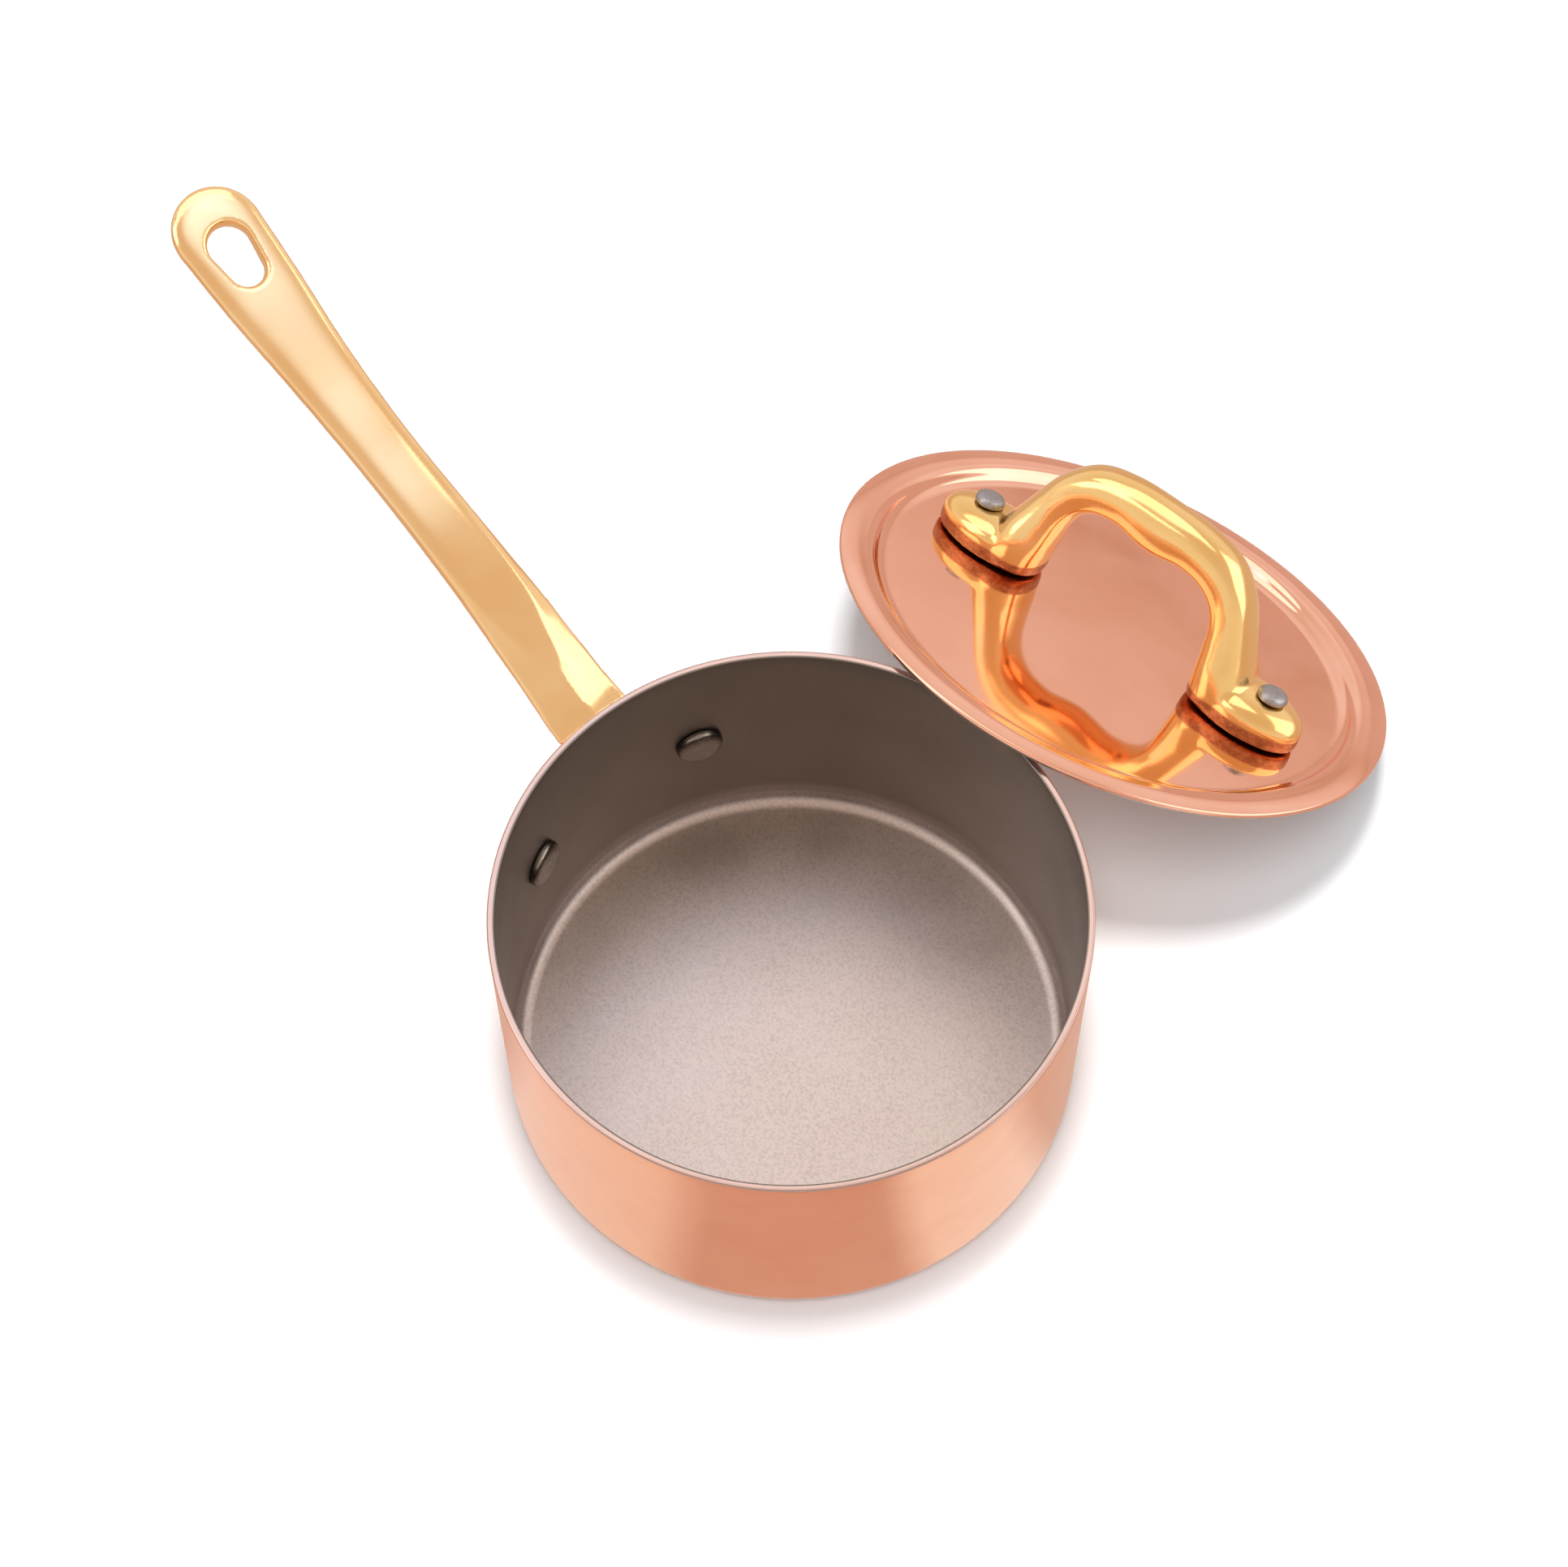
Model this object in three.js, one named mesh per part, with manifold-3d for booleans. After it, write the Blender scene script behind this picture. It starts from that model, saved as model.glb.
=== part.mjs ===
// A small copper saucepan with a brass strap handle, and its loose copper lid.
// The lid leans on the pan: one side rests on the rim, the other stands on the table.
// Millimetres, +Z up. The origin is the centre of the pan's base, on the table.
// The pan's handle points along -X.

import * as THREE from "three";
import { mergeVertices } from "three/addons/utils/BufferGeometryUtils.js";
import Module from "manifold-3d";

const wasm = await Module();
wasm.setup();

// Pan: copper outside, a thin steel lining inside.
const PAN_RADIUS = 60;
const PAN_HEIGHT = 60;
const BASE_FILLET = 5;
const PAN_COPPER = 1.15;
const PAN_STEEL = 0.3;
const BOND_GAP = 0.1;
const PAN_WALL = PAN_COPPER + BOND_GAP + PAN_STEEL;

// Lid: a disc with a shallow round recess and a wide flange that covers the rim.
const LID_RADIUS = 63.5;
const LID_COPPER = 0.8;
const LID_STEEL = 0.3;
const LID_SHEET = LID_COPPER + BOND_GAP + LID_STEEL;
const LID_FLOOR = -2.5;
const LID_CREST = 0.2;
const FLOOR_RADIUS = 53;
const WALL_MIDDLE = 55.3;
const WALL_STEEPNESS = 0.8;
const CREST_RADIUS = 57.4;
const LID_EDGE_BEND = { width: 2, fall: 0.2 };

// How the lid leans: its tilt, where it leans to, and its small step sideways.
const LEAN_TILT = THREE.MathUtils.degToRad(29.9);
const LEAN_AZIMUTH = THREE.MathUtils.degToRad(97.7);
const LEAN_SIDESTEP = 1.7;
const REST_GAP = 0.3;

// Rivets: a shaft with two heads. The holes are wider than the shafts by FIT_GAP.
const FIT_GAP = 0.3;
const PAN_RIVET = { shaft: 2.5, head: 5.1, dome: 1.9, tail: 4.4, tailDome: 1.6 };
const PAN_RIVET_HEIGHT = 31;
const PAN_RIVET_AZIMUTH = THREE.MathUtils.degToRad(21.8);
const LID_RIVET = { shaft: 2, head: 3.4, dome: 1.9, tail: 3.2, tailDome: 0.8 };
const LID_RIVET_REACH = 38.5;
const HEAD_GAP = 0.1;

// Pan handle: stations along its middle line, from the flange to the round end.
// Each one is: distance from the pan's axis, height, width, thickness.
const HANDLE_STATIONS = [
  [62.2, 28, 24, 2.6],
  [62.3, 40, 21, 3.2],
  [62.6, 48, 18.6, 4.2],
  [64, 53.4, 17.2, 5.4],
  [68, 57.6, 16.8, 6.0],
  [73, 60.8, 16.2, 6.0],
  [85, 67, 15.2, 5.6],
  [105, 75, 13.7, 5.0],
  [128, 83, 13.4, 4.6],
  [148, 91, 15.2, 4.5],
  [163, 98.2, 17.8, 4.4],
  [177.2, 105.5, 19.4, 4.2],
];
const HANDLE_STEPS = 36;
const FLANGE_INNER = PAN_RADIUS + FIT_GAP;
const FLANGE_THICKNESS = 3.5;
const FLANGE_EAR = 7.5;
const FLANGE_BELLY = 3;
const FLANGE_RISE = { halfWidth: 9, height: 18, waist: 12, waistHeight: 8 };
const HANGING_HOLE = { back: 13.2, length: 14, wide: 4.7, narrow: 3.9 };

// How far the tools that cut and trim reach past what they cut.
const TOOL_REACH = 10;

// Lid handle: half of the loop's middle line, from a foot to the top of the loop.
// Each station is: distance from the middle, height over the lid's floor, half width, half thickness.
const LOOP_STATIONS = [
  [34, 3.6, 6.4, 2.6],
  [28.6, 5.6, 7.0, 4.2],
  [25.4, 11, 6.4, 5.4],
  [23.8, 17, 5.8, 4.8],
  [21.4, 22.6, 5.6, 4.9],
  [16.8, 26.8, 5.6, 5.2],
  [9.5, 28.7, 5.6, 5.4],
  [0, 28.3, 5.8, 6.3],
];
const LOOP_STEPS = 44;
const FOOT = { reach: 34.5, length: 13.5, width: 8.7, side: 3.2, dome: 5.6, seat: 8.3 };
const FOOT_GAP = 0.5;

const ROUND_STEPS = 72;
const SMALL_STEPS = 18;
const SECTION_STEPS = 16;
const END_STEPS = 32;
const END_LEVELS = 6;
const DOME_STEPS = 28;
const DOME_LEVELS = 12;
const SQUARENESS = 2.6;
const LOOP_SQUARENESS = 2.2;

const COPPER = { color: 0xd98e69, roughness: 0.28, metalness: 1 };
const LID_COPPER_LOOK = { color: 0xe0986f, roughness: 0.12, metalness: 1 };
const STEEL = { color: 0x9d928c, roughness: 0.5, metalness: 1 };
const BRASS = { color: 0xe5b766, roughness: 0.15, metalness: 1 };
const RIVET_STEEL = { color: 0x9a9a9c, roughness: 0.35, metalness: 1 };

// ---- Solids -------------------------------------------------------------

function toSolid(geometry) {
  const bare = geometry.clone();
  bare.deleteAttribute("normal");
  bare.deleteAttribute("uv");
  const merged = mergeVertices(bare, 1e-4);
  const corners = merged.index.array;
  const triangles = [];
  for (let i = 0; i < corners.length; i += 3) {
    const [a, b, c] = corners.slice(i, i + 3);
    if (a !== b && b !== c && c !== a) triangles.push(a, b, c);
  }
  const mesh = new wasm.Mesh({
    numProp: 3,
    vertProperties: new Float32Array(merged.attributes.position.array),
    triVerts: new Uint32Array(triangles),
  });
  return new wasm.Manifold(mesh);
}

function toGeometry(solid) {
  const mesh = solid.getMesh();
  const geometry = new THREE.BufferGeometry();
  geometry.setAttribute("position", new THREE.BufferAttribute(mesh.vertProperties, 3));
  geometry.setIndex(new THREE.BufferAttribute(mesh.triVerts, 1));
  geometry.computeVertexNormals();
  return geometry;
}

function cut(body, tools) {
  return tools.reduce((left, tool) => left.subtract(toSolid(tool)), body);
}

// A profile of (radius, height) points turned about Z.
function turned(points, steps = ROUND_STEPS) {
  return new THREE.LatheGeometry(points, steps).rotateX(Math.PI / 2);
}

function pin(radius, from, to, steps = SMALL_STEPS) {
  const length = to - from;
  const cylinder = new THREE.CylinderGeometry(radius, radius, length, steps);
  return cylinder.rotateX(Math.PI / 2).translate(0, 0, from + length / 2);
}

// Rings of points, all alike in number, skinned into one closed body with flat ends.
function skinned(rings) {
  const count = rings[0].length;
  const points = rings.flat();
  const corners = [];
  for (let ring = 0; ring < rings.length - 1; ring += 1) {
    for (let i = 0; i < count; i += 1) {
      const a = ring * count + i;
      const b = ring * count + ((i + 1) % count);
      corners.push(a, b, b + count, a, b + count, a + count);
    }
  }
  const last = (rings.length - 1) * count;
  for (let i = 1; i < count - 1; i += 1) {
    corners.push(0, i + 1, i);
    corners.push(last, last + i, last + i + 1);
  }
  const geometry = new THREE.BufferGeometry().setFromPoints(points);
  geometry.setIndex(corners);
  return geometry;
}

// One rounded cross-section square to `along`: a superellipse, `halfWidth` to each `side`.
function section(centre, along, side, halfWidth, halfThickness, squareness) {
  const up = new THREE.Vector3().crossVectors(along, side).normalize();
  const ring = [];
  for (let i = 0; i < SECTION_STEPS; i += 1) {
    const angle = (2 * Math.PI * i) / SECTION_STEPS;
    const across = Math.sign(Math.cos(angle)) * Math.abs(Math.cos(angle)) ** (2 / squareness);
    const over = Math.sign(Math.sin(angle)) * Math.abs(Math.sin(angle)) ** (2 / squareness);
    ring.push(
      centre.clone()
        .addScaledVector(side, halfWidth * across)
        .addScaledVector(up, halfThickness * over),
    );
  }
  return ring;
}

// Cross-sections strung along `path`, with half widths and half thicknesses from `sizes`.
function strung(path, sizes, side, steps, squareness) {
  const rings = [];
  for (let step = 0; step <= steps; step += 1) {
    const t = step / steps;
    const { x: halfWidth, y: halfThickness } = sizes.getPoint(t);
    rings.push(section(path.getPoint(t), path.getTangent(t), side, halfWidth, halfThickness, squareness));
  }
  return toSolid(skinned(rings));
}

// ---- Pan ----------------------------------------------------------------

// The cup's surface, `inset` inwards from the outside, from the axis to the rim.
function cupLine(inset) {
  const line = new THREE.Path();
  const corner = PAN_RADIUS - BASE_FILLET;
  line.moveTo(0, inset);
  line.lineTo(corner, inset);
  line.absarc(corner, BASE_FILLET, BASE_FILLET - inset, -Math.PI / 2, 0, false);
  line.lineTo(PAN_RADIUS - inset, PAN_HEIGHT);
  return line.getPoints(2);
}

function cup(outerInset, innerInset) {
  const profile = [...cupLine(outerInset), ...cupLine(innerInset).reverse()];
  return toSolid(turned(profile));
}

// Places a shape made along +Z so that it points from the pan's wall to its axis.
function throughWall(geometry, side) {
  return geometry
    .rotateY(-Math.PI / 2)
    .rotateZ(Math.PI + side * PAN_RIVET_AZIMUTH)
    .translate(0, 0, PAN_RIVET_HEIGHT);
}

function wallHoles() {
  const radius = PAN_RIVET.shaft + FIT_GAP;
  const near = -PAN_RADIUS - TOOL_REACH;
  const far = -PAN_RADIUS + TOOL_REACH;
  return [-1, 1].map((side) => throughWall(pin(radius, near, far), side));
}

function panShell() {
  return toGeometry(cut(cup(0, PAN_COPPER), wallHoles()));
}

function panLining() {
  return toGeometry(cut(cup(PAN_COPPER + BOND_GAP, PAN_WALL), wallHoles()));
}

// ---- Pan handle -----------------------------------------------------------

// A round lens with the strap's own cross-section, in the plane of the strap's end.
function handleEnd(path, width, thickness) {
  const profile = [];
  for (let i = 0; i <= END_LEVELS; i += 1) {
    const angle = -Math.PI / 2 + (Math.PI * i) / END_LEVELS;
    const over = Math.sign(Math.sin(angle)) * Math.abs(Math.sin(angle)) ** (2 / SQUARENESS);
    const across = Math.abs(Math.cos(angle)) ** (2 / SQUARENESS);
    const radius = i % END_LEVELS ? (width / 2) * across : 0;
    profile.push(new THREE.Vector2(radius, (thickness / 2) * over));
  }
  return toSolid(onHandleEnd(turned(profile, END_STEPS), path, 0));
}

// Lays a shape made flat on XY onto the end of the strap, `back` millimetres towards the pan.
function onHandleEnd(geometry, path, back) {
  const along = path.getTangent(1);
  const place = path.getPoint(1).addScaledVector(along, -back);
  const slope = Math.atan2(along.z, -along.x);
  return geometry.rotateY(slope).translate(place.x, place.y, place.z);
}

function hangingHole(path) {
  const { back, length, wide, narrow } = HANGING_HOLE;
  const outline = new THREE.Shape();
  outline.absarc(-(length / 2 - wide), 0, wide, Math.PI / 2, (3 * Math.PI) / 2, false);
  outline.absarc(length / 2 - narrow, 0, narrow, -Math.PI / 2, Math.PI / 2, false);
  const depth = 2 * TOOL_REACH;
  const hole = new THREE.ExtrudeGeometry(outline, { depth, bevelEnabled: false, curveSegments: 10 });
  return onHandleEnd(hole.translate(0, 0, -TOOL_REACH), path, back - length / 2);
}

// The plate that hugs the wall: a ring cut to an outline with two ears and a rise for the strap.
function handleFlange() {
  const outer = FLANGE_INNER + FLANGE_THICKNESS;
  const { halfWidth, height, waist, waistHeight } = FLANGE_RISE;
  const low = PAN_RIVET_HEIGHT - FLANGE_EAR - TOOL_REACH;
  const high = PAN_RIVET_HEIGHT + height + TOOL_REACH;
  const ring = turned([
    new THREE.Vector2(FLANGE_INNER, low),
    new THREE.Vector2(outer, low),
    new THREE.Vector2(outer, high),
    new THREE.Vector2(FLANGE_INNER, high),
    new THREE.Vector2(FLANGE_INNER, low),
  ]);
  const ear = outer * Math.sin(PAN_RIVET_AZIMUTH);
  const outline = new THREE.Shape();
  outline.absarc(ear, 0, FLANGE_EAR, -Math.PI / 2, Math.PI / 2, false);
  outline.quadraticCurveTo(waist, waistHeight, halfWidth, height);
  outline.lineTo(-halfWidth, height);
  outline.quadraticCurveTo(-waist, waistHeight, -ear, FLANGE_EAR);
  outline.absarc(-ear, 0, FLANGE_EAR, Math.PI / 2, (3 * Math.PI) / 2, false);
  outline.quadraticCurveTo(0, -FLANGE_EAR - FLANGE_BELLY, ear, -FLANGE_EAR);
  const depth = 4 * TOOL_REACH;
  const block = new THREE.ExtrudeGeometry(outline, { depth, bevelEnabled: false, curveSegments: 8 });
  block.rotateX(Math.PI / 2).rotateZ(-Math.PI / 2);
  block.translate(depth / 2 - PAN_RADIUS, 0, PAN_RIVET_HEIGHT);
  return toSolid(ring).intersect(toSolid(block));
}

function panHandle() {
  const path = new THREE.CatmullRomCurve3(
    HANDLE_STATIONS.map(([out, height]) => new THREE.Vector3(-out, 0, height)),
  );
  const sizes = new THREE.CatmullRomCurve3(
    HANDLE_STATIONS.map(([, , width, thickness]) => new THREE.Vector3(width / 2, thickness / 2, 0)),
  );
  const [, , endWidth, endThickness] = HANDLE_STATIONS.at(-1);
  const across = new THREE.Vector3(0, -1, 0);
  const body = strung(path, sizes, across, HANDLE_STEPS, SQUARENESS)
    .add(handleEnd(path, endWidth, endThickness))
    .add(handleFlange());
  return toGeometry(cut(body, [hangingHole(path), ...wallHoles()]));
}

// ---- Rivets ---------------------------------------------------------------

// A rivet along +Z: its tail under z = 0, its head over z = grip.
function rivet({ shaft, head, dome, tail, tailDome }, grip) {
  const line = new THREE.Path();
  line.moveTo(0, -tailDome);
  line.quadraticCurveTo(tail, -tailDome, tail, 0);
  line.lineTo(shaft, 0);
  line.lineTo(shaft, grip);
  line.lineTo(head, grip);
  line.lineTo(head, grip + dome * 0.3);
  line.quadraticCurveTo(head * 0.95, grip + dome, 0, grip + dome);
  return turned(line.getPoints(4), SMALL_STEPS);
}

// ---- Lid ------------------------------------------------------------------

// The lid's top surface, or the same surface `drop` lower, from the middle to the edge.
function lidLine(drop) {
  const line = new THREE.Path();
  const halfway = (LID_FLOOR + LID_CREST) / 2;
  line.moveTo(0, LID_FLOOR - drop);
  line.lineTo(FLOOR_RADIUS, LID_FLOOR - drop);
  line.quadraticCurveTo(WALL_MIDDLE - WALL_STEEPNESS, LID_FLOOR - drop, WALL_MIDDLE, halfway - drop);
  line.quadraticCurveTo(WALL_MIDDLE + WALL_STEEPNESS, LID_CREST - drop, CREST_RADIUS, LID_CREST - drop);
  line.lineTo(LID_RADIUS - LID_EDGE_BEND.width, LID_CREST - drop);
  line.lineTo(LID_RADIUS, LID_CREST - LID_EDGE_BEND.fall - drop);
  return line.getPoints(2);
}

function lidSheet(top, bottom) {
  const profile = [...lidLine(bottom), ...lidLine(top).reverse()];
  return cut(toSolid(turned(profile)), lidHoles());
}

function lidHoles() {
  const radius = LID_RIVET.shaft + FIT_GAP;
  return [-1, 1].map((side) => pin(radius, -TOOL_REACH, TOOL_REACH).translate(0, side * LID_RIVET_REACH, 0));
}

function lidShell() {
  return toGeometry(lidSheet(0, LID_COPPER));
}

function lidLining() {
  return toGeometry(lidSheet(LID_COPPER + BOND_GAP, LID_SHEET));
}

// ---- Lid handle, made with z = 0 at the underside of its feet -----------------

function loopTube() {
  const half = LOOP_STATIONS.map(([out, height, width, thickness]) => ({
    place: new THREE.Vector3(0, out, height - FOOT_GAP),
    size: new THREE.Vector3(width, thickness, 0),
  }));
  const mirrored = half.slice(0, -1).reverse().map(({ place, size }) => ({
    place: new THREE.Vector3(0, -place.y, place.z),
    size,
  }));
  const stations = [...half, ...mirrored];
  const path = new THREE.CatmullRomCurve3(stations.map(({ place }) => place));
  const sizes = new THREE.CatmullRomCurve3(stations.map(({ size }) => size));
  return strung(path, sizes, new THREE.Vector3(1, 0, 0), LOOP_STEPS, LOOP_SQUARENESS);
}

// An oval column over a foot's footprint.
function footColumn(height) {
  const outline = new THREE.Shape();
  outline.absellipse(0, 0, FOOT.width, FOOT.length, 0, 2 * Math.PI, false, 0);
  return new THREE.ExtrudeGeometry(outline, { depth: height, bevelEnabled: false, curveSegments: 14 });
}

// An oval pad with upright sides under a dome.
function loopFoot(side) {
  const place = side * FOOT.reach;
  const dome = new THREE.SphereGeometry(1, DOME_STEPS, DOME_LEVELS)
    .rotateX(Math.PI / 2)
    .scale(FOOT.width, FOOT.length, FOOT.dome)
    .translate(0, place, FOOT.side);
  const above = footColumn(FOOT.side + FOOT.dome).translate(0, place, 0);
  const pad = footColumn(FOOT.side).translate(0, place, 0);
  return toSolid(dome).intersect(toSolid(above)).add(toSolid(pad));
}

function lidHandle() {
  const seat = LID_RIVET.head + FIT_GAP;
  const seatTop = FOOT.seat + TOOL_REACH;
  const seats = [-1, 1].map((side) => pin(seat, FOOT.seat, seatTop).translate(0, side * LID_RIVET_REACH, 0));
  const body = loopTube().add(loopFoot(-1)).add(loopFoot(1));
  return toGeometry(cut(body, [...seats, ...lidHoles()]));
}

// ---- Assembly ---------------------------------------------------------------

function named(name, geometry, look) {
  const mesh = new THREE.Mesh(geometry, new THREE.MeshStandardMaterial(look));
  mesh.name = name;
  return mesh;
}

// Rivet tails sit on the outside of the handle's flange, and their heads inside the pan.
function panRivets() {
  const tailFace = FLANGE_INNER + FLANGE_THICKNESS + HEAD_GAP;
  const lining = PAN_RADIUS - PAN_WALL;
  const headFace = Math.sqrt(lining ** 2 - PAN_RIVET.head ** 2) - HEAD_GAP;
  const names = { 1: "pan_rivet_right", [-1]: "pan_rivet_left" };
  return [-1, 1].map((side) => {
    const turn = new THREE.Group();
    const mesh = named(names[side], rivet(PAN_RIVET, tailFace - headFace), RIVET_STEEL);
    mesh.position.set(tailFace, 0, PAN_RIVET_HEIGHT);
    mesh.rotation.y = -Math.PI / 2;
    turn.rotation.z = Math.PI + side * PAN_RIVET_AZIMUTH;
    turn.add(mesh);
    return turn;
  });
}

function lidRivets() {
  const tailFace = LID_FLOOR - LID_SHEET - HEAD_GAP;
  const headFace = LID_FLOOR + FOOT_GAP + FOOT.seat + HEAD_GAP;
  const names = { 1: "lid_rivet_left", [-1]: "lid_rivet_right" };
  return [-1, 1].map((side) => {
    const mesh = named(names[side], rivet(LID_RIVET, headFace - tailFace), RIVET_STEEL);
    mesh.position.set(0, side * LID_RIVET_REACH, tailFace);
    return mesh;
  });
}

// The lid stands on the table on its lower edge, and its flange rests on the pan's rim.
function leaningLid() {
  const lid = new THREE.Group();
  const handle = named("lid_handle", lidHandle(), BRASS);
  handle.position.z = LID_FLOOR + FOOT_GAP;
  lid.add(named("lid_shell", lidShell(), LID_COPPER_LOOK));
  lid.add(named("lid_lining", lidLining(), STEEL));
  lid.add(handle, ...lidRivets());

  const sine = Math.sin(LEAN_TILT);
  const cosine = Math.cos(LEAN_TILT);
  const underside = LID_CREST - LID_SHEET;
  const middleHeight = LID_RADIUS * sine + LID_SHEET * cosine;
  const contact = (PAN_HEIGHT + REST_GAP - middleHeight - underside * cosine) / sine;
  const middleOut = PAN_RADIUS + contact * cosine - underside * sine;
  lid.rotation.y = LEAN_TILT;
  lid.position.set(middleOut, LEAN_SIDESTEP, middleHeight);

  const lean = new THREE.Group();
  lean.rotation.z = LEAN_AZIMUTH;
  lean.add(lid);
  return lean;
}

const saucepan = new THREE.Group();
saucepan.add(named("pan_shell", panShell(), COPPER));
saucepan.add(named("pan_lining", panLining(), STEEL));
saucepan.add(named("pan_handle", panHandle(), BRASS));
saucepan.add(...panRivets());
saucepan.add(leaningLid());

export default saucepan;
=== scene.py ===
"""The looks of a small copper saucepan and its loose lid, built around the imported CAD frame."""

import math

import bmesh
import bpy
import numpy as np
from mathutils import Matrix, Vector


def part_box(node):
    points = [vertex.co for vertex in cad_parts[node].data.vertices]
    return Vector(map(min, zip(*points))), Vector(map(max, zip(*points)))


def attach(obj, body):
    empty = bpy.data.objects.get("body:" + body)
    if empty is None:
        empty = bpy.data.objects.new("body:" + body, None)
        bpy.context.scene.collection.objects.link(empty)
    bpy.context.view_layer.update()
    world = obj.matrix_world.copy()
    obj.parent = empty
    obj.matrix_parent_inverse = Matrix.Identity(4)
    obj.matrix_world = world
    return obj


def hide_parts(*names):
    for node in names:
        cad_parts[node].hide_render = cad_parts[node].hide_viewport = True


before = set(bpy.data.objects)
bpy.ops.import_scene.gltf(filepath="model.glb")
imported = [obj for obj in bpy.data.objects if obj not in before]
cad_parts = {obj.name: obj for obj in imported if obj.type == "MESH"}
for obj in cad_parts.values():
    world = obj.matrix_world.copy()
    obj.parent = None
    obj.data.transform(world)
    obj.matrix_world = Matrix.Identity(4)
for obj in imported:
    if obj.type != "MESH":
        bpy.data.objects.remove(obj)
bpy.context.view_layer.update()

MM = 0.001

# ---- Sizes, in millimetres ------------------------------------------------------------

PAN_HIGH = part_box("pan_shell")[1] / MM
PAN_RADIUS = PAN_HIGH.x
PAN_HEIGHT = PAN_HIGH.z
BASE_FILLET = 5.0
PAN_COPPER = 1.15
PAN_WALL = 1.55
RIM_ROUND = 0.4
LINING_ROUND = 0.3

LID_RADIUS = 63.5
LID_COPPER = 0.8
LID_SHEET = 1.2
LID_FLOOR = -2.5
LID_CREST = 0.2
# The lid's top surface outside its flat floor: start, control and end of each curve, as (radius,
# height), and its steps. They are the foot and the crest of the recess's wall, then the flange.
LID_FLAT = 52
LID_CURVES = [
    ((52.6, LID_FLOOR), (54.6, LID_FLOOR), (55.3, -1.15), 8),
    ((55.3, -1.15), (56.0, LID_CREST), (57.6, LID_CREST), 8),
    ((58.4, 0.22), (60.6, 0.42), (62.6, 0.08), 6),
]
LID_EDGE_ROUND = 0.3
LID_TILT = math.radians(29.9)
LID_AZIMUTH = math.radians(97.7)
LID_SIDESTEP = 1.7
REST_GAP = 0.3

# Round steps of a turned sheet, and the grain and the smoothing of the two castings.
TURNS = 256
CAST_GRAIN = 0.4
GRIP_SMOOTHING = 5
LOOP_SMOOTHING = 32

# Pan handle: out from the pan's axis, height, half width, half thickness, squareness, then its
# top: the flat share of the width, and how far the bevels beside it fall. It is a ridge at the pan.
HANDLE = [
    (60.9, 55.7, 8.8, 1.9, 3.5, 0.0, 1.3),
    (65, 57.2, 8.6, 2.2, 3.5, 0.0, 1.8),
    (68, 58.7, 8.4, 2.5, 3.5, 0.04, 2.2),
    (73, 61.4, 8.1, 2.8, 3.5, 0.16, 2.4),
    (79, 64.0, 7.8, 2.9, 3.5, 0.36, 2.2),
    (85, 67, 7.6, 2.8, 3.5, 0.56, 1.9),
    (93, 70.4, 7.2, 2.65, 3.5, 0.7, 1.6),
    (105, 75, 6.85, 2.5, 3.5, 0.77, 1.3),
    (128, 83, 6.7, 2.3, 3.5, 0.8, 1.1),
    (148, 91, 7.6, 2.25, 3.5, 0.8, 0.9),
    (163, 98.2, 8.9, 2.2, 3.8, 0.85, 0.5),
    (177.2, 105.5, 9.7, 2.1, 3.8, 1.0, 0.0),
]
HOLE = {"back": 13.2, "length": 14, "wide": 4.7, "narrow": 3.9}
# The cutter for the hole: how far it reaches, the half height of its straight part, and its flare.
HOLE_CUTTER = {"reach": 5, "straight": 0.4, "flare": 0.9}
# The plate on the wall. Its rise narrows at the waist, on the way from the ears towards the strap.
# Known fault: the rise ends at a height of 51.5 and the strap begins at 54, so they don't meet.
FLANGE = {"inner": 60.3, "thickness": 3.5, "ear": 7.5, "height": 31, "belly": 3}
FLANGE_WAIST = (12, 8)
FLANGE_RISE = (8.8, 20.5)
PAN_RIVET = {"shaft": 2.5, "head": 5.1, "dome": 1.9, "tail": 4.4, "tail_dome": 1.6}
PAN_RIVET_AZIMUTH = math.radians(21.8)

# Lid handle: half of the loop from inside its foot to the middle: out, height over its feet,
# half width, half thickness, squareness, flat share, fall of the bevels.
LOOP = [
    (28.0, 1.2, 8.3, 6.9, 2.3, 0.3, 1.6),
    (27.6, 4.2, 8.4, 6.7, 2.3, 0.3, 1.6),
    (26.6, 8.4, 7.9, 6.2, 2.4, 0.3, 1.7),
    (25.4, 12.6, 6.9, 5.5, 2.5, 0.3, 1.7),
    (23.8, 17.4, 6.0, 4.9, 2.6, 0.3, 1.8),
    (21.4, 22.1, 5.6, 4.9, 2.6, 0.3, 1.8),
    (16.8, 26.3, 5.6, 5.2, 2.6, 0.3, 1.9),
    (9.5, 28.2, 5.6, 5.4, 2.5, 0.3, 2.0),
    (0, 27.8, 5.8, 6.3, 2.4, 0.3, 2.2),
]
FOOT = {"reach": 34.5, "length": 13.4, "width": 8.6, "side": 3.3, "dome": 5.0, "seat": 8.3}
FOOT_ROUNDNESS = {"across": 0.75, "over": 0.8}
FOOT_GAP = 0.5
LID_RIVET = {"shaft": 2, "head": 3.4, "dome": 1.9, "tail": 3.2, "tail_dome": 0.8}
LID_RIVET_REACH = 38.5
HEAD_GAP = 0.1

# The camera: the direction of its right-hand side, how steeply it looks down, how far it is from
# the middle of the rim, what it aims at from there (to the right and away), its roll and its lens.
VIEW_AZIMUTH = math.radians(48.7)
VIEW_ELEVATION = math.radians(62.51)
VIEW_DISTANCE = 653.6
VIEW_AIM = (-1.3, 28.5)
VIEW_ROLL = math.radians(-0.39)
VIEW_LENS = 76.08

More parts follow.
